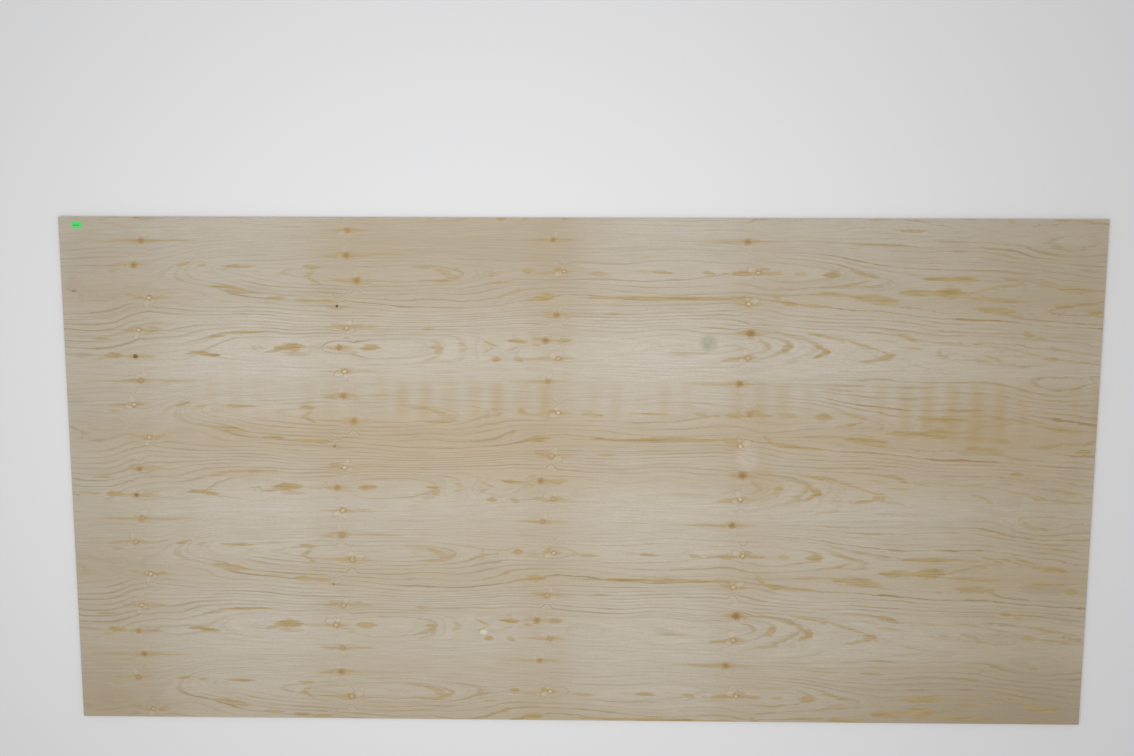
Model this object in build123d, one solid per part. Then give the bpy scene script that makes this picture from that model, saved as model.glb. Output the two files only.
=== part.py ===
from build123d import *
import os

# Plywood sheet: five peeled pine veneers pressed into one board, trimmed square and sanded.
# It lies flat with its better face up. X runs along the length and the face grain, Y across
# the width, Z up through the thickness. The origin is the middle of the underside.

# Driving dimensions, in millimetres
sheet_length = 2440.0  # the standard 8 ft
sheet_width = 1220.0  # the standard 4 ft
face_thickness = 1.2  # as peeled: each turn round the log is 7.5 mm longer than the last, 2 pi times this
crossband_thickness = 2.2
core_thickness = 2.2
back_thickness = 1.2
arris_break = 0.3  # the sharp edge that the sanding takes off both outer veneers


def veneer(underside, thickness):
    """A veneer trimmed to the sheet's outline, lying with its lower side at the height underside."""
    slab = extrude(Rectangle(sheet_length, sheet_width), amount=thickness)
    return Pos(0, 0, underside) * slab


def outer_veneer(underside, thickness, sanded_side):
    """A face or back veneer, its arris broken all round the side that shows (1 is up, -1 is down)."""
    slab = veneer(underside, thickness)
    by_height = slab.faces().sort_by(Axis.Z)
    shown = by_height[-1] if sanded_side > 0 else by_height[0]
    return chamfer(shown.edges(), arris_break)


def lay_up():
    """The veneers by name, each glued on the one below it."""
    lower_crossband_at = back_thickness
    core_at = lower_crossband_at + crossband_thickness
    upper_crossband_at = core_at + core_thickness
    face_at = upper_crossband_at + crossband_thickness
    return {
        "back_veneer": outer_veneer(0.0, back_thickness, -1),
        "lower_crossband": veneer(lower_crossband_at, crossband_thickness),
        "core_veneer": veneer(core_at, core_thickness),
        "upper_crossband": veneer(upper_crossband_at, crossband_thickness),
        "face_veneer": outer_veneer(face_at, face_thickness, 1),
    }


os.makedirs("parts", exist_ok=True)
for name, solid in lay_up().items():
    export_step(solid, f"parts/{name}.step")
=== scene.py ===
import math

import bpy
import numpy as np
from mathutils import Matrix, Vector


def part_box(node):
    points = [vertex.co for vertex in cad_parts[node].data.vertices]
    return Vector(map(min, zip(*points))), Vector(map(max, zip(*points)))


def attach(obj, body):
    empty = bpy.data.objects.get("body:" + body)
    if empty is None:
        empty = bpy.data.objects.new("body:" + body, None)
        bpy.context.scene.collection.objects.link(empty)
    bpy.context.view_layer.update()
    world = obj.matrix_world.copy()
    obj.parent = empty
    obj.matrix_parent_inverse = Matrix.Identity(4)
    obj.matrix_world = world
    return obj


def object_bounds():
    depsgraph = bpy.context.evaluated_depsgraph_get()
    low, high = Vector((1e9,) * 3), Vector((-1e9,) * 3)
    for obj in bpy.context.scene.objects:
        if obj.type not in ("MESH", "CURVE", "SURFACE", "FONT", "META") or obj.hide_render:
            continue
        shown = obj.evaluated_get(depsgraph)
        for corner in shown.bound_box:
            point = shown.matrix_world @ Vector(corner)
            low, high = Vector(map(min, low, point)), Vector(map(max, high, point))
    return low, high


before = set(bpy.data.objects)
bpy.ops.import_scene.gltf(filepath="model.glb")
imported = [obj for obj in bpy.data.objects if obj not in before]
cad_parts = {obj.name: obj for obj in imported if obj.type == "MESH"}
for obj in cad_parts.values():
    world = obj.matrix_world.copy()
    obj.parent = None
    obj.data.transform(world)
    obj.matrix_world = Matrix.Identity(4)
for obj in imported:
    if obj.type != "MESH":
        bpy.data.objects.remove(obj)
cad_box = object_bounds()
face_height = cad_box[1].z

# The looks of a plywood sheet. Its face and back are peeled pine: the knife went round the log
# several times, so knots and rings come back once each turn, a little further on each time.
# Pattern sizes below are in millimetres of the sheet, and turns round the log.

# The log and the knife
girth_at_top = 327.7  # round the log where the sheet's upper edge was peeled
girth_growth = 7.5  # each turn is this much longer: 2 pi times the veneer
girth_growth_taper = 2.8  # and this much more for each metre towards the thick end
first_turn_y = 600.0  # where across the sheet the first turn starts
drift_per_turn = 14.07  # how far the pattern creeps along the sheet each turn
drift_easing = 1.045  # and how much less it does so with each turn
drift_taper = 0.09  # the share of the creep that is lost for each metre towards the thick end
late_turns_pull = 0.027  # the thick end's turns come round this much sooner


# Wires: numbers and vectors that travel through a material's nodes

class Wire:
    """A number that a material works out; sums and products of wires are math nodes."""

    def __init__(self, socket):
        self.socket = socket
        self.tree = socket.id_data

    def __add__(self, other):
        return compute("ADD", self, other)

    def __sub__(self, other):
        return compute("SUBTRACT", self, other)

    def __rsub__(self, other):
        return compute("SUBTRACT", other, self)

    def __mul__(self, other):
        return compute("MULTIPLY", self, other)

    def __truediv__(self, other):
        return compute("DIVIDE", self, other)

    def __neg__(self):
        return compute("MULTIPLY", self, -1.0)

    __radd__ = __add__
    __rmul__ = __mul__


def plug(socket, value):
    """Gives an input its value: a wire is linked, and anything else is set."""
    if isinstance(value, Wire):
        value.tree.links.new(value.socket, socket)
    elif value is not None:
        socket.default_value = value


def add_node(kind, *values, **settings):
    """A node with these inputs and settings, in the tree that the wires among the inputs are in."""
    node = next(value.tree for value in values if isinstance(value, Wire)).nodes.new(kind)
    for name, setting in settings.items():
        setattr(node, name, setting)
    for socket, value in zip(node.inputs, values):
        plug(socket, value)
    return node


def compute(operation, *values):
    """A math node."""
    return Wire(add_node("ShaderNodeMath", *values, operation=operation).outputs[0])


def compute_vector(operation, *values, result=0):
    """A vector math node. Its output 1 is a number, where the operation gives one."""
    return Wire(add_node("ShaderNodeVectorMath", *values, operation=operation).outputs[result])


def vector(x, y, z=0.0):
    return Wire(add_node("ShaderNodeCombineXYZ", x, y, z).outputs[0])


def split(place):
    """A vector's x, y and z."""
    return [Wire(socket) for socket in add_node("ShaderNodeSeparateXYZ", place).outputs]


def squares(first, second):
    return first * first + second * second


def blend_numbers(amount, first, second):
    return first + (second - first) * amount


def ease(value, start, end, low=0.0, high=1.0):
    """low before start, high after end, and a smooth step between them; start may be the larger."""
    node = add_node("ShaderNodeMapRange", value, start, end, low, high, interpolation_type="SMOOTHSTEP")
    return Wire(node.outputs["Result"])


def window(value, start, end, softness):
    """1 between start and end, 0 outside."""
    return ease(value, start - softness, start + softness) * ease(value, end + softness, end - softness)


def spot(place, x, y, reach_x, reach_y):
    """1 in the middle of an oval of the sheet, 0 at its rim."""
    offset = compute_vector("SUBTRACT", place, (x, y, 0))
    scaled = compute_vector("MULTIPLY", offset, (1 / reach_x, 1 / reach_y, 0))
    return ease(compute_vector("DOT_PRODUCT", scaled, scaled, result=1), 1.0, 0.0)


def noise(place, detail=2.0, roughness=0.5):
    """Smooth noise about 0.5, in patches about 1 long."""
    node = add_node("ShaderNodeTexNoise", place)
    node.inputs["Scale"].default_value = 1.0
    node.inputs["Detail"].default_value = detail
    node.inputs["Roughness"].default_value = roughness
    return Wire(node.outputs["Fac"])


def mottle(x, y, length, breadth, detail=1.0, roughness=0.5):
    """Smooth noise about 0.5, in patches about this long and broad."""
    return noise(vector(x / length, y / breadth), detail, roughness)


def curve(value, points):
    """A smooth curve through the points (value, result)."""
    points = np.array(points, float)
    low, high = points.min(axis=0), points.max(axis=0)
    span = np.maximum(high - low, 1e-9)
    shares = (points - low) / span
    node = add_node("ShaderNodeFloatCurve", None, (value - float(low[0])) / float(span[0]))
    line = node.mapping.curves[0]
    line.points[0].location, line.points[1].location = shares[0], shares[-1]
    for x, y in shares[1:-1]:
        line.points.new(x, y)
    node.mapping.use_clip = False
    node.mapping.update()
    return Wire(node.outputs[0]) * float(span[1]) + float(low[1])


def look_up(index, starts, rows):
    """Up to four numbers of a table, from 0 to 1: each row holds from its start on. Gives wires."""
    node = add_node("ShaderNodeValToRGB", index)
    ramp = node.color_ramp
    ramp.interpolation = "CONSTANT"
    for start, row in zip(starts, rows):
        stop = ramp.elements[0] if start == 0 else ramp.elements.new(start)
        stop.color = (*row, 0, 0, 0, 0)[:4]
    ramp.elements.remove(ramp.elements[-1])
    parts = add_node("ShaderNodeSeparateColor", Wire(node.outputs["Color"]))
    return [Wire(parts.outputs[k]) for k in range(3)] + [Wire(node.outputs["Alpha"])]


def blend_colours(amount, first, second):
    node = add_node("ShaderNodeMix", amount, data_type="RGBA", clamp_factor=True)
    plug(node.inputs[6], first)
    plug(node.inputs[7], second)
    return Wire(node.outputs[2])


def screen_colour(red, green, blue):
    """A colour as a screen shows it, 0 to 255, in the linear form that shaders take."""
    linear = [((v / 255 + 0.055) / 1.055) ** 2.4 for v in (red, green, blue)]
    return (*linear, 1.0)


# The log

class Log:
    """Where each point of a peeled veneer was on the log."""

    def __init__(self, x, y):
        growth = x * (girth_growth_taper / 1000) + girth_growth
        unrolled = (first_turn_y - y) * growth * 2.0 + girth_at_top ** 2
        peeled = (compute("SQRT", unrolled) - girth_at_top) / growth
        creep = peeled * (drift_per_turn - peeled * drift_easing)
        self.along = x + creep * (1.0 - x * (drift_taper / 1000))
        self.turns = peeled + (peeled - 1.5) * ease(self.along, 450, 1150, 0.0, late_turns_pull)
        self.part_turn = compute("FRACT", self.turns)


# Growth rings

# Where the knife crossed the outer edge of each growth ring: millimetres along from the middle, and
# thousandths of a turn. Ring 0 is the darkest one, and the numbers rise towards the bark.
ring_edges = {
    5: [(-620, 330), (-480, 314), (-330, 322), (-270, 368), (-310, 413), (-450, 427), (-600, 420)],
    4: [(-835, 345), (-780, 312), (-650, 287), (-480, 278), (-300, 287), (-220, 312), (-190, 350),
        (-205, 397), (-270, 430), (-350, 446), (-450, 455), (-600, 445), (-750, 410)],
    3: [(-880, 350), (-850, 300), (-750, 275), (-600, 245), (-350, 244), (-150, 270), (100, 285),
        (300, 270), (500, 285), (580, 310), (607, 360), (570, 400), (450, 412), (200, 413), (-60, 412),
        (-150, 418), (-215, 447), (-330, 470), (-450, 485), (-600, 475), (-750, 442)],
    2: [(-912, 350), (-890, 300), (-800, 255), (-600, 226), (-250, 226), (100, 257), (250, 230), (500, 255),
        (680, 330), (722, 375), (700, 395), (650, 433), (560, 450), (400, 444), (100, 442), (-100, 435),
        (-200, 462), (-300, 510), (-450, 515), (-600, 497), (-750, 473), (1110, 583), (1200, 553),
        (1150, 612), (1200, 630), (850, 470), (960, 460)],
    1: [(-928, 350), (-905, 300), (-850, 250), (-600, 210), (-150, 210), (100, 225), (250, 205), (500, 230),
        (660, 300), (750, 337), (900, 346), (1000, 350), (1085, 395), (1200, 440), (-750, 503), (-600, 530),
        (-450, 553), (-300, 557), (-200, 540), (-150, 515), (-120, 463), (-60, 453), (100, 482), (350, 491),
        (550, 498), (640, 512), (680, 550), (750, 572), (850, 600), (950, 598), (1020, 610), (1050, 647),
        (1200, 670)],
    0: [(-941, 350), (-915, 300), (-850, 238), (-600, 195), (-150, 190), (250, 185), (500, 205), (700, 280),
        (850, 300), (1000, 310), (1200, 380), (-940, 400), (-900, 438), (-850, 465), (-790, 528),
        (-700, 542), (-500, 570), (-350, 585), (-150, 566), (-70, 530), (100, 534), (370, 530), (520, 572),
        (650, 603), (750, 622), (850, 655), (950, 665), (1200, 705)],
    -1: [(-1190, 355), (-1040, 375), (-850, 220), (-350, 172), (250, 168), (500, 185), (700, 245),
        (850, 258), (1000, 272), (1200, 345), (-1190, 535), (-1090, 540), (-960, 530), (-850, 567),
        (-700, 591), (-500, 608), (-350, 639), (-200, 620), (50, 580), (250, 576), (500, 610), (700, 642),
        (950, 690), (1200, 735)],
    -2: [(-1190, 317), (-950, 270), (-850, 200), (-350, 156), (250, 150), (500, 168), (700, 210), (850, 218),
        (1000, 235), (1200, 300), (-1190, 650), (-1100, 625), (-1050, 605), (-850, 600), (-650, 628),
        (-350, 658), (-150, 630), (100, 618), (250, 608), (500, 640), (700, 672), (1000, 720), (1200, 762)],
    -3: [(-1190, 290), (-950, 235), (-850, 180), (-350, 140), (250, 132), (500, 150), (700, 175), (850, 175),
        (1000, 195), (1200, 260), (-1190, 704), (-1120, 686), (-1060, 645), (-950, 625), (-750, 634),
        (-350, 678), (-150, 646), (250, 630), (500, 672), (800, 718), (1200, 790)],
    -4: [(-1190, 262), (-950, 205), (-850, 160), (-350, 122), (250, 112), (700, 140), (850, 142),
        (1200, 220), (-1190, 739), (-1110, 718), (-1040, 665), (-990, 633), (-900, 657), (-750, 655),
        (-350, 693), (-150, 660), (100, 667), (300, 648), (500, 700), (800, 748), (1200, 820)],
    -5: [(-1190, 235), (-950, 175), (-850, 140), (-350, 105), (250, 95), (700, 105), (850, 110), (1057, 150),
        (1200, 180), (-1190, 762), (-1100, 775), (-1030, 690), (-950, 687), (-750, 680), (-350, 710),
        (-150, 676), (100, 690), (250, 672), (500, 730), (700, 758), (785, 800), (850, 865), (1000, 895),
        (1200, 945)],
    -6: [(-1190, 205), (-900, 125), (-350, 87), (250, 75), (500, 70), (620, 50), (743, 0), (743, -75),
        (-1190, 797), (-1100, 797), (-950, 735), (-750, 705), (-350, 726), (-150, 695), (100, 712),
        (400, 725), (560, 768), (650, 830), (743, 925), (620, 950), (1100, 80), (1200, 62), (1100, 145)],
    -7: [(-1190, 150), (-950, 100), (-350, 68), (250, 50), (500, 20), (580, -130), (-1190, 855),
        (-1070, 825), (-950, 770), (-750, 725), (-350, 739), (-150, 717), (250, 725), (500, 775),
        (560, 830), (580, 870), (560, 930), (500, 960)],
    -8: [(-1190, 90), (-950, 65), (-350, 48), (-200, 30), (300, 20), (400, 0), (502, -140), (-1120, 900),
        (-1050, 855), (-950, 800), (-800, 758), (-450, 756), (-150, 752), (250, 750), (420, 800),
        (502, 865), (480, 920), (430, 950)],
    -9: [(-1190, -25), (-1100, 35), (-950, 45), (-350, 22), (-192, -40), (-50, -30), (390, -50),
        (-1190, 945), (-1080, 958), (-960, 873), (-850, 800), (-650, 793), (-450, 775), (-250, 775),
        (-200, 845), (-120, 832), (100, 824), (300, 818), (462, 860), (440, 905)],
    -10: [(-1010, 955), (-880, 930), (-800, 820), (-600, 810), (-350, 790), (-270, 840), (-257, 880),
        (-270, 960), (-350, 0), (-600, 0), (50, 856), (200, 853), (300, 905), (150, 910), (425, 865)],
    -11: [(-720, 900), (-550, 885), (-350, 872), (-315, 900), (-330, 960), (-450, 972), (-650, 930)],
}
# Places that lie between two rings
between_rings = {
    -0.9: [(-1190, 450), (-1050, 450)],
    -0.6: [(-1000, 420)],
    1.7: [(760, 440)],
    -5.5: [(1057, 117)],
}
ring_waves = 4  # the rings' swing round a turn is a sum of this many waves
ring_stations = 43
ring_reach = 1260.0  # the stations run this far each way along the log


def waves_of(turns):
    """A column of ones, and the cosine and sine of each wave, for numbers of turns."""
    columns = [np.ones_like(turns)]
    for wave in range(1, ring_waves + 1):
        columns += [np.cos(2 * np.pi * wave * turns), np.sin(2 * np.pi * wave * turns)]
    return np.stack(columns, -1)


def fit_rings(stiffness=0.4, calm=0.02):
    """How much of each wave there is at each station, so that the rings run through their edges smoothly."""
    edges = [(along, milliturns / 1000, ring) for rings in (ring_edges, between_rings)
             for ring, places in rings.items() for along, milliturns in places]
    along, turns, ring = np.array(edges).T
    stations = np.linspace(-ring_reach, ring_reach, ring_stations)
    columns = 2 * ring_waves + 1
    wave = (np.arange(columns) + 1) // 2
    near = np.stack([np.interp(along, stations, row) for row in np.eye(ring_stations)], -1)
    through_edges = (near[:, :, None] * waves_of(turns)[:, None, :]).reshape(len(edges), -1)
    bends = np.kron(np.diff(np.eye(ring_stations), 2, axis=0), np.diag(stiffness * (1 + 0.3 * wave)))
    ripples = np.kron(np.eye(ring_stations), np.diag(calm * np.where(wave > 1, wave ** 2, 0)))
    wanted = np.concatenate([ring, np.zeros(len(bends) + len(ripples))])
    amounts = np.linalg.lstsq(np.vstack([through_edges, bends, ripples]), wanted, rcond=None)[0]
    return stations, amounts.reshape(ring_stations, columns)


def growth_rings(along, turns):
    """The growth ring that shows, with its part: 2.9 is the dark wood just inside ring 3's edge. Then how
    many rings there are to a millimetre, along the log and round it."""
    stations, amounts = fit_rings()
    slopes = np.gradient(amounts, stations, axis=0)

    def sweep(table, column):
        return curve(along, list(zip(stations, table[:, column])))

    number, along_slope, round_slope = sweep(amounts, 0), sweep(slopes, 0), 0.0
    for wave in range(1, ring_waves + 1):
        angle = turns * (2 * math.pi * wave)
        cosine, sine = compute("COSINE", angle), compute("SINE", angle)
        even, odd = sweep(amounts, 2 * wave - 1), sweep(amounts, 2 * wave)
        number = number + even * cosine + odd * sine
        round_slope = (odd * cosine - even * sine) * (2 * math.pi * wave / girth_at_top) + round_slope
        along_slope = along_slope + sweep(slopes, 2 * wave - 1) * cosine + sweep(slopes, 2 * wave) * sine
    return number, along_slope, round_slope


# How dark each ring's edge is, by its number, and how much of it shows round the turn
ring_strength = [
    (-12, 0.6), (-11, 0.8), (-10, 0.6), (-9, 0.6), (-8, 0.7), (-7, 0.65), (-6, 0.5), (-5, 0.55), (-4, 0.65),
    (-3, 0.6), (-2, 0.5), (-1, 0.45), (0, 1), (1, 0.7), (2, 0.6), (3, 0.6), (4, 0.65), (5, 0.7), (6, 0.6),
]
turn_strength = [
    (0, 0.4), (0.08, 0.25), (0.2, 0.3), (0.27, 0.6), (0.36, 0.9), (0.5, 1), (0.76, 1), (0.86, 0.9),
    (0.95, 0.8), (1, 0.4),
]
right_end_strength = 0.85  # at the right end, whatever the turn
crest_turn = 0.36  # where round the log the knife cut nearest the bark
# Where the rings hardly show: millimetres along, thousandths of a turn, and how far that reaches in mm
quiet_places = [
    (-840, 350, 130, 36), (-1060, 410, 130, 46), (-190, 890, 120, 46), (150, 890, 260, 40),
    (890, 455, 130, 22), (650, 870, 60, 34),
]
line_breadth = 1.8  # half the breadth of a ring's edge that the knife cut across, in mm
flame_length = 11.0  # and half its length where the knife ran along it
broadest_line = 0.3  # but never more than this share of a ring
wander_rings = (0.65, 1.2)  # how far rings stray from their smooth course, in the middle and at the right
fray_rings = (0.05, 0.3)  # and how far their fibres do


def wandering_rings(log, shift, lift, ragged):
    """The ring that shows, and how many there are to a millimetre, along the log and round it."""
    wander = noise(vector(log.along / 130, log.turns * 13), detail=4.0, roughness=0.7) - 0.5
    ring, along_slope, round_slope = growth_rings(log.along, log.part_turn - shift)
    ring = ring + lift + wander * ease(log.along, 350, 900, *wander_rings)
    ring = ring + (ragged - 0.5) * ease(log.along, 300, 900, *fray_rings)
    return ring, compute("ABSOLUTE", along_slope), compute("ABSOLUTE", round_slope)


def line_breadths(log, offset, number, level, steep, flame):
    """Half the breadth of each ring's edge, in rings, and where it is thick with resin."""
    side = compute("COSINE", (log.part_turn - crest_turn) * (2 * math.pi)) * 0.6
    outside = compute("GREATER_THAN", offset, 0.0)
    lean = compute("MULTIPLY_ADD", side, outside * 2.0 - 1.0, 1.0)
    swell = noise(vector(log.along / 110, number * 5.3, log.turns * 0.9), detail=1.0)
    thick = ease(swell, 0.46, 0.62) * ease(log.along, 200, 600, 0.4, 1.0)
    breadth = steep * line_breadth * (thick * 1.5 + 0.85) + level * flame * flame_length
    return compute("MINIMUM", breadth, broadest_line) * lean, thick


def line_strength(log, number, patch, thick, level, steep, right_end):
    """How strongly each ring's edge shows."""
    strength = ease(patch, 0.36, 0.62, 0.4, 1.05) * (thick * 0.3 + 0.9) * curve(number, ring_strength)
    strength = strength * ease(steep + level * 6.0, 0.003, 0.022)
    strength = strength * ease(log.along, 450, 800, 1.0, 1.3)
    strength = strength * ease(log.along, -1040, -1140, 1.0, 1.4)
    for along, milliturns, reach, across in quiet_places:
        around = (log.part_turn - milliturns / 1000) * (girth_at_top / across)
        strength = strength * ease(squares((log.along - along) / reach, around), 0.3, 1.0, 0.3, 1.0)
    return strength * blend_numbers(right_end, curve(log.part_turn, turn_strength), right_end_strength)


def grain(log, shift, lift, ragged):
    """The dark edge of each ring, how golden it is, and the fine lines between."""
    ring, level, steep = wandering_rings(log, shift, lift, ragged)
    offset = compute("FRACT", ring + 0.5) - 0.5
    number = ring - offset
    flame = level * level / (squares(level, steep * 0.2) + 0.0000001)
    breadth, thick = line_breadths(log, offset, number, level, steep, flame)
    patch = noise(vector(log.along / 200, number * 3.7, log.turns * 1.3), detail=1.0)
    right_end = ease(log.along, 380, 760)
    edge = ease(compute("ABSOLUTE", offset) / breadth + (ragged - 0.5) * (flame * 1.4 + 0.3), 1.0, 0.1)
    edge = edge * line_strength(log, number, patch, thick, level, steep, right_end)
    golden = compute("MAXIMUM", compute("MAXIMUM", flame, thick), ease(patch, 0.5, 0.7) * 0.6)
    fine = noise(vector(log.along / 420, ring * 4.0, log.turns * 2.0), detail=2.0, roughness=0.6)
    return edge, compute("MAXIMUM", golden, right_end * 0.65), ease(fine, 0.48, 0.8)


# Branches

# A whorl of them at a time, by its middle along the log: millimetres along, thousandths of a turn, the
# knot's radius, how far its golden streaks run to the left and right, how far it lifts the rings round
# it, and how pale its heart is on each of the four turns: 1 is cream, 0 brown and -1 black
whorls = {
    -1030: [
        (-1026, 135, 6.5, 120, 140, 0, 0, 0.2, 0.3, 0),
        (-1043, 308, 6, 60, 40, 0, -0.05, 0.8, 0.5, 0.2),
        (-1007, 543, 5.5, 50, 60, 0.8, 0.9, 0.8, 0.9, 0.6),
        (-1031, 773, 5.5, 50, 60, 0, 0.8, 0, 0.7, 0),
        (-1039, 963, 5, 100, 60, 0, -0.6, -0.3, 0, 0),
    ],
    -543: [
        (-542, 60, 6, 60, 90, 0, 0.1, 0.8, 0.8, 0.3),
        (-544, 235, 7, 60, 80, 0, 0, 0, 0.2, 0),
        (-518, 414, 7, 90, 60, 0.6, -0.05, 0, 0.5, 0.5),
        (-563, 596, 3, 15, 30, 0, -0.9, -0.2, 0, 0),
        (-539, 750, 5.5, 60, 60, 0, 0.7, 0.9, 0.6, 0),
        (-556, 893, 6.5, 50, 50, -0.5, 0, 0, 0.7, 0),
    ],
    -54: [
        (-61, 122, 5.5, 90, 60, 0, 0, 0.1, 0.2, 0),
        (-33, 345, 5, 40, 40, 0.4, 0.7, 0.9, 0.8, 0.9),
        (-46, 652, 6.5, 40, 60, 0.6, -0.05, 0.5, 0.4, 0),
        (-70, 832, 7, 40, 40, 0, -0.05, -0.05, 0, 0),
        (-38, 960, 5.5, 70, 50, 0, 0.6, 0.4, 0.3, 0),
    ],
    405: [
        (391, 132, 7, 140, 70, 0, -0.05, -0.1, -0.1, 0),
        (419, 349, 5.5, 40, 60, 0.5, 0.7, 0.1, 0.8, 0.8),
        (401, 570, 6, 40, 40, 0.5, 0.8, 1, 0.7, 0),
        (411, 776, 8.5, 40, 40, -0.6, 0, 0, 0, 0),
        (407, 949, 6, 60, 40, 0, 0.6, 0.9, 0.6, 0),
    ],
}
branch_scatter = 40.0  # no branch stands further than this from the middle of its whorl
longest_streak, widest_knot, highest_lift = 140.0, 12.0, 1.0
knot_pull_along, knot_pull_across = 48.0, 22.0  # the rings flow round a knot within this reach
knot_pull = 0.8
knot_pinch_along, knot_pinch_across = 22.0, 44.0  # but right above or below it they are drawn in
knot_pinch = 0.9
streak_length, streak_breadth = 1.25, 0.85  # of the lengths above and of the radius, with faint ends


def whorl_rows(order, whorl):
    """From where on each branch is the nearest one, as a share of all whorls' turns, with the branch and
    its turn. One that is nearest across the start of the turn comes twice."""
    turns = [branch[1] / 1000 for branch in whorl]
    borders = [(turns[-1] - 1 + turns[0]) / 2] + [(a + b) / 2 for a, b in zip(turns, turns[1:])]
    rows = [(0.0, whorl[-1], turns[-1] - 1)] if borders[0] > 0 else []
    rows += [(max(border, 0.0), branch, turn) for border, branch, turn in zip(borders, whorl, turns)]
    if borders[0] <= 0:
        rows.append((borders[0] + 1, whorl[0], turns[0] + 1))
    return [((order + start) / len(whorls), branch, turn) for start, branch, turn in rows]


def nearest_middle(along, middles):
    """The order of the whorl that is nearest along the log, and its middle."""
    order, middle = 0.0, float(middles[0])
    for before, after in zip(middles, middles[1:]):
        beyond = compute("GREATER_THAN", along, (before + after) / 2)
        order = beyond + order
        middle = beyond * float(after - before) + middle
    return order, middle


class NearestBranch:
    """The branch that is nearest to each point: its place, its knot and its streaks."""

    def __init__(self, log):
        starts, places, streak_rows, hearts = [], [], [], []
        for order, (middle, whorl) in enumerate(whorls.items()):
            for start, branch, turn in whorl_rows(order, whorl):
                along, _, radius, left, right, lift, *pale = branch
                starts.append(start)
                places.append(((along - middle) / branch_scatter / 2 + 0.5, (turn + 0.5) / 2,
                               radius / widest_knot, lift / highest_lift / 2 + 0.5))
                streak_rows.append((left / longest_streak, right / longest_streak))
                hearts.append([heart / 2 + 0.5 for heart in pale])
        order, whorl_middle = nearest_middle(log.along, list(whorls))
        index = (order + log.part_turn) / len(whorls)
        along, turn, radius, lift = look_up(index, starts, places)
        left, right, _, _ = look_up(index, starts, streak_rows)
        pale = look_up(index, starts, hearts)
        branch_turn = turn * 2.0 - 0.5
        self.along = log.along - whorl_middle - (along - 0.5) * (2 * branch_scatter)
        self.turns = log.part_turn - branch_turn
        self.across = self.turns * girth_at_top
        self.radius = radius * widest_knot
        self.lift = (lift - 0.5) * (2 * highest_lift)
        self.left, self.right = left * longest_streak, right * longest_streak
        # From -1 to 1, and different for each branch
        self.side = compute("SINE", self.left * 0.37 + self.right * 0.91 + self.radius)
        time_round = compute("ROUND", log.turns - branch_turn)
        self.heart = sum(((value * 2.0 - 1.0) * compute("COMPARE", time_round, float(k), 0.5)
                          for k, value in enumerate(pale)), 0.0)


def branch_pull(branch):
    """How a branch moves the rings round it: a shift in turns, and a lift in rings."""
    away = squares(branch.along / knot_pull_along, branch.across / knot_pull_across)
    near = compute("MAXIMUM", 1.0 - away, 0.0)
    near = near * near
    pinched = squares(branch.along / knot_pinch_along, branch.across / knot_pinch_across)
    pinch = compute("MAXIMUM", 1.0 - pinched, 0.0)
    pinch = pinch * pinch * ease(branch.across * branch.side, -9.0, 9.0)
    return branch.turns * (near * knot_pull - pinch * knot_pinch), near * branch.lift


def streaks(branch, ragged):
    """1 in the golden streaks that run along the grain from a knot, 0 outside them."""
    length = blend_numbers(compute("GREATER_THAN", branch.along, 0.0), branch.left, branch.right)
    far = compute("ABSOLUTE", branch.along) / (length * streak_length)
    breadth = compute("MAXIMUM", 1.0 - far * 0.7, 0.05) * branch.radius * streak_breadth
    away = compute("ABSOLUTE", branch.across) / breadth
    return ease(away + (ragged - 0.5) * 2.6, 1.3, 0.0) * ease(far, 1.0, 0.3)


# Golden marks

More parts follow.
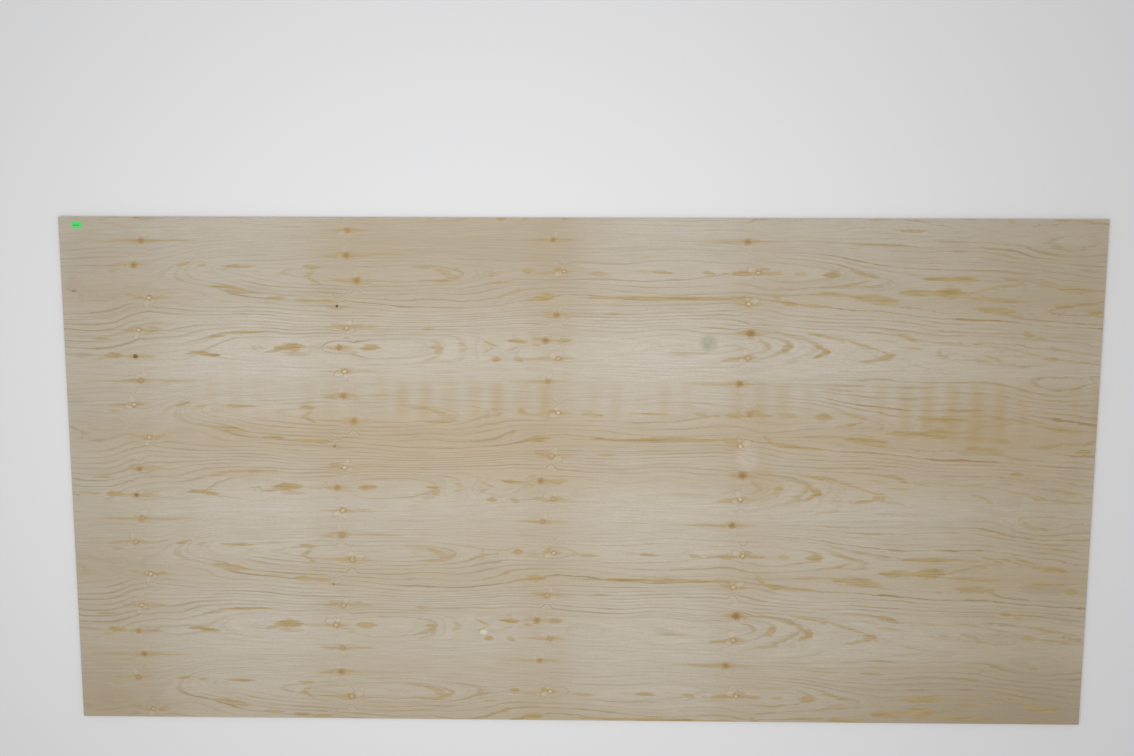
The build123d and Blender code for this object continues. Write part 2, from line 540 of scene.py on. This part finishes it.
# From and to along the log, thousandths of a turn, half the breadth in mm, how far they slant (mm round
# the log for each 100 along) and their strength in percent
marks = [
    (-1196, -1121, 952, 2, 5, 50), (-1143, -1096, 838, 2, 0, 70), (-1114, -1069, 958, 5, 0, 90),
    (-1107, -1065, 311, 2.5, -10, 60), (-1103, -1080, 356, 3, 10, 50), (-1064, -1037, 523, 3, 15, 50),
    (-1036, -989, 961, 3, 0, 55), (-1024, -974, 765, 5, 0, 45), (-992, -962, 538, 4, 0, 55),
    (-945, -910, 304, 3, -20, 90), (-917, -867, 933, 3.5, -6, 80), (-895, -870, 314, 2, -15, 60),
    (-892, -840, 945, 3.5, 5, 100), (-868, -828, 816, 2, -12, 60), (-863, -793, 465, 2.5, 7, 90),
    (-839, -714, 784, 2.6, -3, 90), (-833, -757, 314, 3, 0, 80), (-828, -775, 486, 6.5, 12, 60),
    (-732, -682, 538, 2.5, 3, 80), (-729, -687, 915, 3, -12, 70), (-692, -635, 935, 4, 5, 40),
    (-705, -640, 890, 7.5, -2, 100), (-660, -614, 556, 4, 3, 90), (-645, -609, 320, 4, 5, 80),
    (-643, -617, 371, 4, -50, 60), (-640, -578, 893, 2.5, 0, 40), (-639, -606, 410, 3, 50, 75),
    (-617, -570, 563, 3.5, 0, 75), (-596, -553, 244, 3, -8, 50), (-575, -552, 728, 5, 0, 50),
    (-547, -507, 920, 2, 10, 40), (-532, -397, 231, 1.6, 0, 40), (-515, -493, 734, 4, 0, 50),
    (-505, -461, 890, 6, -5, 90), (-500, -470, 742, 1.5, 0, 60), (-390, -335, 319, 2.5, 5, 50),
    (-362, -333, 754, 1.6, 0, 55), (-353, -319, 964, 3, -30, 45), (-346, -292, 416, 2.5, 0, 80),
    (-340, -312, 886, 4, 5, 90), (-340, -298, 341, 4, 20, 70), (-330, -310, 919, 8, 0, 55),
    (-317, -275, 380, 7, 30, 45), (-275, -251, 868, 3, 35, 50), (-274, -254, 904, 3, -20, 45),
    (-217, -186, 853, 3, 38, 70), (-214, -191, 901, 2.5, -50, 50), (-209, -197, 365, 12, 0, 35),
    (-196, -162, 425, 2, -5, 60), (-195, -174, 970, 5, 0, 90), (-160, -130, 892, 2.5, -30, 40),
    (-157, -113, 838, 4, 6, 100), (-151, -133, 486, 5, -40, 50), (-141, -121, 969, 4.5, 30, 65),
    (-130, -107, 341, 5, 10, 90), (-125, -93, 543, 2, -8, 50), (-107, -57, 353, 2, 0, 50),
    (-101, -81, 865, 3, 0, 50), (-99, -53, 528, 6.5, -5, 100), (-89, -49, 960, 3, 0, 60),
    (-83, -53, 633, 5, 10, 45), (-57, -33, 334, 5, 0, 90), (-47, -9, 831, 5, 0, 80),
    (23, 71, 359, 3.5, 3, 70), (35, 399, 531, 3.4, 0, 100), (59, 105, 642, 1.8, 0, 60),
    (135, 170, 343, 2, 0, 30), (170, 221, 349, 3, 3, 80), (222, 314, 917, 2.5, 2, 45),
    (290, 321, 355, 4, 20, 65), (335, 351, 358, 3, 0, 55), (350, 400, 958, 4, -10, 60),
    (359, 407, 355, 4.5, 0, 90), (357, 403, 540, 6.5, 10, 55), (408, 441, 328, 5, -10, 70),
    (417, 477, 352, 4, 5, 70), (426, 461, 845, 1.5, 90, 40), (455, 479, 527, 5, 60, 70),
    (460, 572, 802, 1.8, 27, 45), (475, 519, 566, 4.5, 15, 90), (485, 507, 880, 10, -30, 60),
    (505, 532, 354, 4.5, 0, 55), (515, 594, 581, 3, 6, 90), (543, 612, 789, 2.5, 16, 80),
    (546, 666, 503, 1.8, 0, 50), (562, 596, 878, 4.5, 42, 90), (562, 596, 922, 4.5, -42, 90),
    (580, 599, 900, 8, 0, 95), (572, 612, 361, 6, 0, 85), (610, 632, 818, 3, 10, 55),
    (615, 749, 858, 1.6, 30, 60), (625, 682, 416, 3, -20, 70), (630, 695, 351, 2.5, 25, 80),
    (647, 744, 526, 8.5, 9, 80), (672, 730, 959, 3.5, -12, 70), (695, 749, 558, 2.5, 3, 60),
    (710, 755, 817, 1.5, 15, 45), (719, 751, 928, 6.5, -10, 80), (752, 786, 779, 3, 10, 60),
    (753, 838, 474, 6.5, 0, 85), (756, 813, 866, 2, 6, 45), (774, 802, 808, 3.5, 30, 60),
    (809, 935, 373, 5, 0, 95), (830, 940, 832, 1.5, 8, 45), (831, 903, 470, 9.5, 0, 100),
    (903, 966, 454, 2.5, -25, 60), (904, 1039, 511, 4.5, 5, 70), (935, 995, 379, 2.5, 0, 50),
    (935, 1023, 587, 6.5, 6, 80), (940, 1020, 846, 1.8, 12, 45), (955, 996, 920, 3, 20, 55),
    (960, 1041, 411, 2.5, -6, 55), (986, 1005, 949, 4, 40, 55), (990, 1019, 365, 4, 10, 55),
    (1011, 1101, 887, 2.3, 20, 45), (1013, 1041, 385, 2.5, 30, 60), (1045, 1071, 759, 4.5, 10, 90),
    (1055, 1117, 374, 3, 27, 65), (1070, 1097, 780, 2, 10, 50), (1095, 1133, 929, 4.5, 8, 75),
    (1110, 1159, 553, 4, -10, 70), (1111, 1229, 880, 1.8, 13, 55), (1114, 1194, 435, 6, 10, 80),
    (1120, 1144, 150, 3, 20, 60), (1131, 1229, 950, 2.2, 11, 60), (1157, 1223, 540, 2, -3, 60),
    (1191, 1227, 595, 5, 0, 95),
]
mark_gap = 26.0  # marks nearer to each other than this along the log go in separate lanes
longest_mark, broadest_mark, narrowest_mark = 400.0, 15.0, 2.6
longest_reach, broadest_reach = 235.0, 17.0  # from the middle of such a mark to the end of its faint rim


def lanes_of_marks():
    """The marks in rows along the log, so that at any place a row has one mark at most."""
    lanes = []
    for mark in sorted(marks):
        free = next((lane for lane in lanes if lane[-1][1] + mark_gap <= mark[0]), None)
        if free is None:
            lanes.append([mark])
        else:
            free.append(mark)
    return lanes


def golden_marks(log, ragged):
    """1 in the middle of the golden marks, 0 outside them."""
    index = (log.along + ring_reach) / (2 * ring_reach)
    golden = 0.0
    for lane in lanes_of_marks():
        starts = [0.0] + [((a[1] + b[0]) / 2 + ring_reach) / (2 * ring_reach) for a, b in zip(lane, lane[1:])]
        places = [((start + end) / 4 / ring_reach + 0.5, milliturns / 1000, (end - start) / longest_mark,
                   max(breadth, narrowest_mark) / broadest_mark)
                  for start, end, milliturns, breadth, _, _ in lane]
        looks = [(slant / 200 + 0.5, strength / 100) for *_, slant, strength in lane]
        middle, turn, length, breadth = look_up(index, starts, places)
        slant, strength, _, _ = look_up(index, starts, looks)
        along = log.along - (middle - 0.5) * (2 * ring_reach)
        across = (log.part_turn - turn) * girth_at_top - along * (slant - 0.5) * 2.0
        far = along / (length * longest_reach)
        away = compute("ABSOLUTE", across / (breadth * broadest_reach)) + far * far
        mark = ease(away + (ragged - 0.5) * 2.8, 1.4, 0.7) * strength
        golden = compute("MAXIMUM", mark, golden)
    return golden


# Pine

sanded_early = screen_colour(199, 192, 180)  # the pale wood that grew in spring
sanded_early_warm = screen_colour(198, 190, 175)
sanded_pale = screen_colour(206, 199, 188)  # in a few broad bands
late_tan_and_painted_shade = screen_colour(178, 158, 124)  # towards the lower edge and the right end, where it is partly painted shade; also in the grain's streaks and grit
# Painted shade: a neutral grey laid on where the light falls off, towards the upper edge, the left end and
# the lower right corner
painted_shade_grey = screen_colour(150, 140, 128)
late_wood = screen_colour(138, 123, 96)  # the darker edge of each ring
late_gold = screen_colour(162, 138, 92)  # and where it is full of resin
resin_gold = screen_colour(180, 158, 115)
resin_dark = screen_colour(162, 138, 93)
halo_gold = screen_colour(176, 152, 112)
knot_wood = screen_colour(170, 138, 88)
knot_amber = screen_colour(158, 121, 70)  # the widest ones, full of resin
knot_rim = screen_colour(124, 98, 60)
knot_pale = screen_colour(208, 194, 166)
knot_black = screen_colour(62, 46, 28)
press_tan = screen_colour(184, 162, 128)
smudge_grey = screen_colour(146, 144, 122)
filler_cream = screen_colour(226, 214, 180)
stain_pink = screen_colour(168, 144, 128)
stain_brown = screen_colour(112, 96, 80)

back_early = screen_colour(206, 184, 146)
back_early_warm = screen_colour(196, 168, 124)
back_late = screen_colour(166, 116, 62)

edge_light = screen_colour(206, 180, 138)  # long grain
edge_brown = screen_colour(178, 142, 96)
edge_dust = screen_colour(222, 204, 172)
end_light = screen_colour(176, 140, 96)  # end grain
end_brown = screen_colour(142, 104, 66)
end_dark = screen_colour(94, 64, 40)
glue_brown = screen_colour(92, 60, 42)

# How yellow the pale wood is, round the turn and along the log: most of all at the branches
turn_warmth = [
    (0, 0), (0.08, 0), (0.13, 0.1), (0.3, 0.12), (0.45, 0.24), (0.53, 0.32), (0.58, 0.26), (0.65, 0.13),
    (0.72, 0.06), (0.78, 0.13), (0.83, 0.04), (1, 0),
]
length_warmth = [
    (-1200, 0.04), (-1080, 0.19), (-1020, 0.18), (-970, 0.04), (-730, 0), (-640, 0.04), (-560, 0.14),
    (-480, 0.13), (-130, 0.18), (-70, 0.3), (0, 0.18), (60, 0.1), (230, 0.04), (330, 0.05), (420, 0.18),
    (500, 0.1), (600, 0.06), (900, 0.1), (1020, 0.16), (1200, 0.1),
]

# The row of bars that heat left across the sheet
bar_spacing, first_bar = 56.5, -421.0
bar_ends, long_bar_ends = (142.0, 222.0), (90.0, 225.0)  # the bars towards the right end are longer
# How strongly each bar shows, numbered from first_bar on
bar_strength = [
    (-14, 0), (-10, 0.25), (-7, 0.4), (-5, 0.1), (-4, 0.5), (-3, 0.6), (-2, 0.3), (-1, 0.4), (0, 1.3),
    (1, 1.3), (2, 0.6), (3, 0.8), (4, 1.6), (5, 0.8), (6, 1.7), (7, 0.2), (9, 0.7), (10, 0.1), (11, 0.8),
    (13, 0.1), (14, 0.8), (15, 1), (18, 0.5), (20, 0.9), (23, 1.5), (25, 1.6), (27, 0.3), (28, 0.6),
]

# Stains: middle, reach along and across, strength, how much more in gritty wood, and colour
stains = [
    (432, -15, 48, 62, 0.35, 0.0, halo_gold),
    (930, 130, 100, 85, 0.3, 0.0, halo_gold),
    (400, 50, 34, 52, -0.1, 0.7, sanded_pale),
    (-1190, 458, 22, 20, 0.25, 0.0, stain_pink),
    (-1192, 437, 9, 4, 0.5, 0.0, stain_brown),
    (-1165, -558, 95, 38, 0.0, 0.3, halo_gold),
    (-231, -387, 12, 8, 0.7, 0.0, filler_cream),
]


def press_marks(x, y, wobble):
    """The tan band that heat left across the sheet, and the row of bars above it."""
    place = (x - first_bar) / bar_spacing + (wobble - 0.5) * 0.2
    bars = compute("COSINE", place * (2 * math.pi)) * 0.5 + 0.5
    height = blend_numbers(ease(x, 600, 850), window(y, *bar_ends, 18), window(y, *long_bar_ends, 25))
    band = window(y, -40, 150, 45) * window(x, -1000, 1150, 160)
    return bars * height * curve(place, bar_strength) * 0.4 + band * (0.22 + wobble * 0.3)


def broad_tones(x, y):
    """How pale and how tan the broad parts of the face are, and how much painted shade they get. The tan is
    partly the wood's own and partly painted shade where the light falls off, towards the lower edge, the
    right end and the lower corners.
    """
    pale_left = window(x, -900, -640, 110) * ease(y, 560, 380)
    pale_middle = window(x, 30, 330, 80)
    pale_band = window(y, 230, 340, 30) * window(x, -1000, 1100, 150)
    pale = pale_left * 1.4 + pale_middle * 1.7 + pale_band
    tan_top = window(x, -620, 0.0, 130) * ease(y, 400, 560)
    # Painted shade, tinted tan, towards the lower left and the lower right corners
    tan_painted_shade_left = ease(x, -850, -1150) * ease(y, 250, -600)
    tan_painted_shade_right = ease(x, 300, 900) * ease(y, -350, -600)
    # The lower edge's and the right end's tan is partly the wood's own and partly painted shade where the
    # light falls off
    tan = ease(y, 50, -650) * 0.3 + ease(x, 500, 1250) + tan_top + tan_painted_shade_left * 0.4 + tan_painted_shade_right * 0.4
    # Painted shade where the light falls off: towards the upper edge, at the lower right corner and along the
    # left end
    shade_right = ease(x, 350, 1000) * ease(y, -400, -600)
    shade_left = ease(x, -900, -1250) * (ease(y, -350, -600) * 0.16 + 0.1)
    return pale, tan, ease(y, 330, 500) * 0.1 + shade_right * 0.4 + shade_left


def sanded_colour(x, y, log):
    """The broad colours of the face, under its grain."""
    broad = mottle(x, y, 420, 190)
    pale, tan, shade = broad_tones(x, y)
    warmth = curve(log.part_turn, turn_warmth) + curve(log.along, length_warmth)
    colour = blend_colours(ease(broad, 0.3, 0.7), sanded_early, sanded_early_warm)
    colour = blend_colours(pale * 0.3, colour, sanded_pale)
    # The tan is partly the wood's own and partly painted shade
    colour = blend_colours(tan * 0.3 + warmth * 0.9, colour, late_tan_and_painted_shade)
    # Painted shade laid over the face
    colour = blend_colours(shade, colour, painted_shade_grey)
    return blend_colours(press_marks(x, y, broad), colour, press_tan)


def stained(place, grit, colour):
    """The face with its stains and one smudge."""
    for x, y, reach_x, reach_y, strength, gritty, stain in stains:
        amount = grit * gritty + strength if gritty else strength
        colour = blend_colours(spot(place, x, y, reach_x, reach_y) * amount, colour, stain)
    smudge = spot(place, 303, 320, 27, 25) * (0.3 + grit * 0.4) + spot(place, 297, 313, 12, 9) * 0.15
    return blend_colours(smudge, colour, smudge_grey)


def face_colour(x, y):
    """The better face: sanded pine with its rings, knots, streaks, press marks and stains."""
    log = Log(x, y)
    branch = NearestBranch(log)
    ragged = mottle(x, y, 40, 4.5, detail=2.0)
    streaky = mottle(x, y, 70, 4.5, detail=2.0, roughness=0.6)
    fibre = mottle(x, y, 90, 2.0, detail=2.0, roughness=0.6)
    grit = mottle(x, y, 8, 6)
    fray = mottle(x, y, 4.5, 3.0)
    late, golden, fine = grain(log, *branch_pull(branch), ragged)
    colour = blend_colours(fine * 0.26, sanded_colour(x, y, log), late_wood)
    colour = blend_colours(ease(fibre, 0.3, 0.7) * 0.2, colour, late_wood)
    colour = blend_colours(ease(streaky, 0.42, 0.7) * 0.24, colour, late_tan_and_painted_shade)
    colour = blend_colours(ease(grit, 0.4, 0.7) * 0.14, colour, late_tan_and_painted_shade)
    colour = blend_colours(late * 0.85, colour, blend_colours(golden, late_wood, late_gold))
    resin = blend_colours(ease(streaky, 0.4, 0.66), resin_gold, resin_dark)
    marks_here = golden_marks(log, ragged * 0.75 + grit * 0.25)
    colour = blend_colours(compute("MAXIMUM", marks_here, streaks(branch, ragged) * 0.65), colour, resin)
    colour = knot(branch, ragged * 0.4 + fray * 0.6, colour)
    return stained(vector(x, y), grit, colour), fibre


def back_colour(x, y):
    """The back: from another log, with more colour and a coarser finish."""
    bend = mottle(x, y, 600, 400)
    log = Log(x * -0.92 + 140.0, y * 0.8 + bend * 60.0 - 120.0)
    branch = NearestBranch(log)
    ragged = mottle(x, y, 26, 3)
    late, _, fine = grain(log, *branch_pull(branch), ragged)
    fibre = noise(vector(x / 60, y / 1.4, 7.0), detail=2.0, roughness=0.6)
    colour = blend_colours(ease(bend, 0.3, 0.7), back_early, back_early_warm)
    colour = blend_colours(ease(fibre, 0.35, 0.75) * 0.2 + fine * 0.2, colour, late_wood)
    colour = blend_colours(late * 0.9, colour, back_late)
    colour = blend_colours(streaks(branch, ragged) * 0.7, colour, resin_gold)
    return knot(branch, ragged, colour), fibre


def knot(branch, ragged, colour):
    """A knot: a golden halo drawn out along the grain, a rim and brown wood, and wild grain round it."""
    pale = compute("MAXIMUM", branch.heart, 0.0)
    from_middle = compute("SQRT", squares(branch.along * 0.85, branch.across))
    away = from_middle / branch.radius + (ragged - 0.5) * 1.9
    halo = squares(branch.along / (branch.radius * 4.5), branch.across / (branch.radius * 1.6))
    colour = blend_colours(ease(halo + (ragged - 0.5) * 2.6, 1.2, -0.2) * 0.6, colour, halo_gold)
    colour = wild_grain(branch, ragged, pale, from_middle, colour)
    wood = blend_colours(ease(branch.radius, 7.2, 8.5), knot_wood, knot_amber)
    colour = blend_colours(ease(away, 1.6, 0.2) * 0.95, colour, wood)
    rim = ease(away, 1.3, 0.9) * ease(away, 0.5, 0.9)
    colour = blend_colours(rim * (pale * 0.15 + 0.15), colour, knot_rim)
    colour = blend_colours(ease(away, 0.9, 0.0) * 0.35, colour, knot_rim)
    colour = blend_colours(ease(away, 0.85, 0.35) * pale, colour, knot_pale)
    return blend_colours(ease(away, 1.0, 0.6) * -branch.heart, colour, knot_black)


def wild_grain(branch, ragged, pale, from_middle, colour):
    """The pale petals round a knot, clearer and outlined where its heart is pale. Their pale fill is partly
    the wild grain's own colour and partly a painted highlight.
    """
    bearing = compute("ARCTAN2", branch.across, branch.along)
    rose = compute("ABSOLUTE", compute("SINE", bearing * 2.0 + ragged * 1.6 + branch.radius * 3.0 - 0.8))
    side = compute("SINE", bearing + branch.side * 4.0) * 0.4 + 0.6
    petal = rose * side * (ragged * 20.0 + branch.radius * 2.6)
    # Pale fill inside the petals: partly the wild grain's colour, partly a painted highlight
    colour = blend_colours(ease(petal - from_middle, 0.0, 6.0) * (pale * 0.18 + 0.1), colour, sanded_pale)
    line = ease(compute("ABSOLUTE", from_middle - petal), 2.2, 0.4)
    return blend_colours(line * side * (pale * 0.35 + 0.2), colour, knot_wood)


def edge_colour(place, normal, grain_along_x, low, high):
    """A veneer's sawn edge from the height low to high: long grain on two sides, end grain on two."""
    x, y, z = split(place)
    across, _, _ = split(compute_vector("ABSOLUTE", normal))
    end_side = compute("GREATER_THAN", across, 0.5)
    run = y * end_side + x * (1.0 - end_side)
    is_end = end_side if grain_along_x else 1.0 - end_side
    long_grain = mottle(run, z, 45, 0.35, detail=2.0)
    pores = mottle(run, z, 0.9, 0.3, detail=2.0, roughness=0.7)
    arcs = mottle(run, z, 30, 0.5, detail=0.0)
    checks = ease(mottle(run + z * 1.2, z, 1.7, 6, detail=0.0), 0.3, 0.22)
    saw = mottle(run, z, 0.7, 14, detail=0.0)
    light = blend_colours(ease(long_grain, 0.35, 0.7), edge_light, edge_brown)
    dark = blend_colours(ease(arcs, 0.4, 0.65), end_light, end_brown)
    dark = blend_colours(ease(pores, 0.5, 0.7) * 0.5, dark, end_dark)
    dark = blend_colours(checks * 0.5, dark, end_dark)
    colour = blend_colours(is_end, light, dark)
    colour = blend_colours(ease(saw, 0.45, 0.75) * 0.25, colour, edge_dust)
    into = compute("MINIMUM", z - low, high - z)
    glue = ease(into + (pores - 0.5) * 0.12, 0.16, 0.05)
    return blend_colours(glue * 0.75, colour, glue_brown), saw


# Materials

def emptied_tree(owner, output_kind="ShaderNodeOutputMaterial"):
    """The node tree of a material or world, with nothing in it but its output, and that one's surface."""
    owner.use_nodes = True
    tree = owner.node_tree
    tree.nodes.clear()
    return tree, tree.nodes.new(output_kind).inputs["Surface"]


def new_material(name):
    """An empty material, with its shader, its coordinates in millimetres and its normal."""
    material = bpy.data.materials.new(name)
    tree, surface = emptied_tree(material)
    shader = tree.nodes.new("ShaderNodeBsdfPrincipled")
    tree.links.new(shader.outputs["BSDF"], surface)
    coordinates = tree.nodes.new("ShaderNodeTexCoord")
    scaled = add_node("ShaderNodeVectorMath", Wire(coordinates.outputs["Object"]), operation="SCALE")
    scaled.inputs["Scale"].default_value = 1000.0
    return material, shader, Wire(scaled.outputs[0]), Wire(coordinates.outputs["Normal"])


def add_bump(shader, height, distance, strength=1.0):
    bump = shader.id_data.nodes.new("ShaderNodeBump")
    bump.inputs["Strength"].default_value = strength
    bump.inputs["Distance"].default_value = distance
    plug(bump.inputs["Height"], height)
    plug(shader.inputs["Normal"], Wire(bump.outputs["Normal"]))


def finish_wood(shader, colour, height, depth, roughness=0.62):
    """Raw wood: no varnish, so its shine is broad and weak. The height is a share of the depth, in metres."""
    plug(shader.inputs["Base Color"], colour)
    plug(shader.inputs["Roughness"], height * 0.12 + roughness)
    shader.inputs["Specular IOR Level"].default_value = 0.3
    add_bump(shader, height, depth, 0.6)


def layer_heights(node):
    """The veneer's lower and upper side, in millimetres."""
    low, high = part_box(node)
    return low[2] * 1000, high[2] * 1000


def outer_veneer(name, node, peeled_colour, glued_side, depth):
    """A veneer with its peeled side showing, glued on its lower side (-1) or upper side (1), and its edge."""
    material, shader, place, normal = new_material(name)
    x, y, _ = split(place)
    low, high = layer_heights(node)
    low, high = (low, high + 1.0) if glued_side < 0 else (low - 1.0, high)  # no glue line on the open side
    colour, fibre = peeled_colour(x, y)
    edge, saw = edge_colour(place, normal, True, low, high)
    _, _, up = split(compute_vector("ABSOLUTE", normal))
    on_face = ease(up, 0.75, 0.95)
    finish_wood(shader, blend_colours(on_face, edge, colour), blend_numbers(on_face, saw, fibre), depth)
    return material


def inner_veneer(name, node, grain_along_x):
    """A veneer between two others, of which only the sawn edge shows."""
    material, shader, place, normal = new_material(name)
    low, high = layer_heights(node)
    colour, saw = edge_colour(place, normal, grain_along_x, low, high)
    finish_wood(shader, colour, saw, 0.0003, roughness=0.7)
    return material


def pine_face():
    return outer_veneer("pine_face_wood", "face_veneer", face_colour, -1, 0.00012)


def pine_back():
    return outer_veneer("pine_back_wood", "back_veneer", back_colour, 1, 0.0002)


def add_object(name, data):
    added = bpy.data.objects.new(name, data)
    bpy.context.scene.collection.objects.link(added)
    return added


def dress(node, material):
    """Gives a CAD node its material."""
    for material_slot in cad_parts[node].material_slots:
        material_slot.material = material


dress("face_veneer", pine_face())
dress("back_veneer", pine_back())
dress("core_veneer", inner_veneer("pine_core_wood", "core_veneer", True))
for crossband in ("upper_crossband", "lower_crossband"):
    dress(crossband, inner_veneer(f"pine_{crossband}", crossband, False))


# The label, a small bright green one with nothing on it but a plain bar

label_length, label_breadth, label_thickness = 0.023, 0.016, 0.0001
label_x, label_y = -1.178, 0.591
label_corner = 0.0012
corner_steps = 6
label_green, label_green_light = screen_colour(74, 214, 96), screen_colour(92, 226, 112)
label_bar_green = screen_colour(22, 96, 48)
bar_left, bar_right, bar_low, bar_high = -7.5, 6.0, -1.2, 0.6  # mm from the middle of the label


def label_material():
    material, shader, place, _ = new_material("label_green_film")
    x, y, _ = split(place)
    middle_x, middle_y = label_x * 1000, label_y * 1000
    bar = window(x, middle_x + bar_left, middle_x + bar_right, 0.3)
    bar = bar * window(y, middle_y + bar_low, middle_y + bar_high, 0.25)
    film = mottle(x, y, 3, 3, detail=2.0)
    colour = blend_colours(ease(film, 0.3, 0.7), label_green, label_green_light)
    plug(shader.inputs["Base Color"], blend_colours(bar * 0.75, colour, label_bar_green))
    plug(shader.inputs["Roughness"], film * 0.15 + 0.38)
    add_bump(shader, film, 0.00005)
    return material


def make_label():
    """A film stuck flat on the face, its corners round."""
    corners = []
    for quarter in range(4):
        corner_x = (label_length / 2 - label_corner) * (1 if quarter in (0, 3) else -1)
        corner_y = (label_breadth / 2 - label_corner) * (1 if quarter in (0, 1) else -1)
        for step in range(corner_steps + 1):
            angle = (quarter + step / corner_steps) * math.pi / 2
            corners.append((label_x + corner_x + label_corner * math.cos(angle),
                            label_y + corner_y + label_corner * math.sin(angle)))
    count = len(corners)
    points = [(x, y, face_height + level) for level in (0.0, label_thickness) for x, y in corners]
    sides = [(i, (i + 1) % count, count + (i + 1) % count, count + i) for i in range(count)]
    mesh = bpy.data.meshes.new("label")
    mesh.from_pydata(points, [], [tuple(reversed(range(count))), tuple(range(count, 2 * count)), *sides])
    mesh.materials.append(label_material())
    label = add_object("label", mesh)
    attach(label, "root")


make_label()


# The studio

floor_colour = (0.80, 0.80, 0.81, 1.0)
floor_reach = 40.0
floor_drop = 0.0002  # so far under the sheet
sky_light = 0.55
lamp_power = 20.5
lamp_length, lamp_breadth = 1.6, 1.0
lamp_place = (-0.25, 0.24, 1.96)


def seen_as_backdrop(tree):
    """1 where a ray is the camera's or runs on in gloss or through glass, 0 where it only lights."""
    path = tree.nodes.new("ShaderNodeLightPath")
    seen = compute("MAXIMUM", Wire(path.outputs["Is Camera Ray"]), Wire(path.outputs["Is Glossy Ray"]))
    return compute("MAXIMUM", seen, Wire(path.outputs["Is Transmission Ray"]))


def make_floor():
    """A pale floor under the sheet, which lets light and a view from below through."""
    mesh = bpy.data.meshes.new("floor")
    corners = [(-floor_reach, -floor_reach, 0), (floor_reach, -floor_reach, 0),
               (floor_reach, floor_reach, 0), (-floor_reach, floor_reach, 0)]
    mesh.from_pydata(corners, [], [(0, 1, 2, 3)])
    material = bpy.data.materials.new("floor_pale")
    tree, surface = emptied_tree(material)
    matt = tree.nodes.new("ShaderNodeBsdfDiffuse")
    matt.inputs["Color"].default_value = floor_colour
    clear = tree.nodes.new("ShaderNodeBsdfTransparent")
    sides = tree.nodes.new("ShaderNodeNewGeometry")
    shown = seen_as_backdrop(tree) * (1.0 - Wire(sides.outputs["Backfacing"]))
    mix = add_node("ShaderNodeMixShader", shown, Wire(clear.outputs[0]), Wire(matt.outputs[0]))
    tree.links.new(mix.outputs[0], surface)
    mesh.materials.append(material)
    floor = add_object("floor", mesh)
    floor.location.z = -floor_drop


def light_studio():
    """An even sky, and a large lamp high above the sheet, a little towards its upper left."""
    world = bpy.data.worlds.new("studio")
    bpy.context.scene.world = world
    tree, surface = emptied_tree(world, "ShaderNodeOutputWorld")
    colour = blend_colours(seen_as_backdrop(tree), (sky_light, sky_light, sky_light, 1), floor_colour)
    tree.links.new(add_node("ShaderNodeBackground", colour).outputs[0], surface)
    lamp = bpy.data.lights.new("lamp", "AREA")
    lamp.shape = "RECTANGLE"
    lamp.size, lamp.size_y = lamp_length, lamp_breadth
    lamp.energy = lamp_power
    holder = add_object("lamp", lamp)
    holder.location = lamp_place
    holder.visible_camera = False


# The camera

camera_place = Vector((0.007, 0.558, face_height + 2.621))
camera_aim = Vector((-0.030, 0.236, face_height))
camera_roll = math.radians(0.17)
camera_lens = 35.5  # mm, on a sensor 36 mm wide


def make_camera():
    """Stands where the photographer would stand over the sheet, nearer its upper edge."""
    data = bpy.data.cameras.new("camera")
    data.sensor_width = 36.0
    data.lens = camera_lens
    camera = add_object("camera", data)
    forward = (camera_aim - camera_place).normalized()
    level = forward.cross(Vector((0, 1, 0))).normalized()
    right = Matrix.Rotation(-camera_roll, 3, forward) @ level
    upward = right.cross(forward)
    turn = Matrix((right, upward, -forward)).transposed()
    camera.matrix_world = Matrix.Translation(camera_place) @ turn.to_4x4()
    bpy.context.scene.camera = camera


make_floor()
light_studio()
make_camera()
bpy.context.scene.view_settings.view_transform = "Standard"
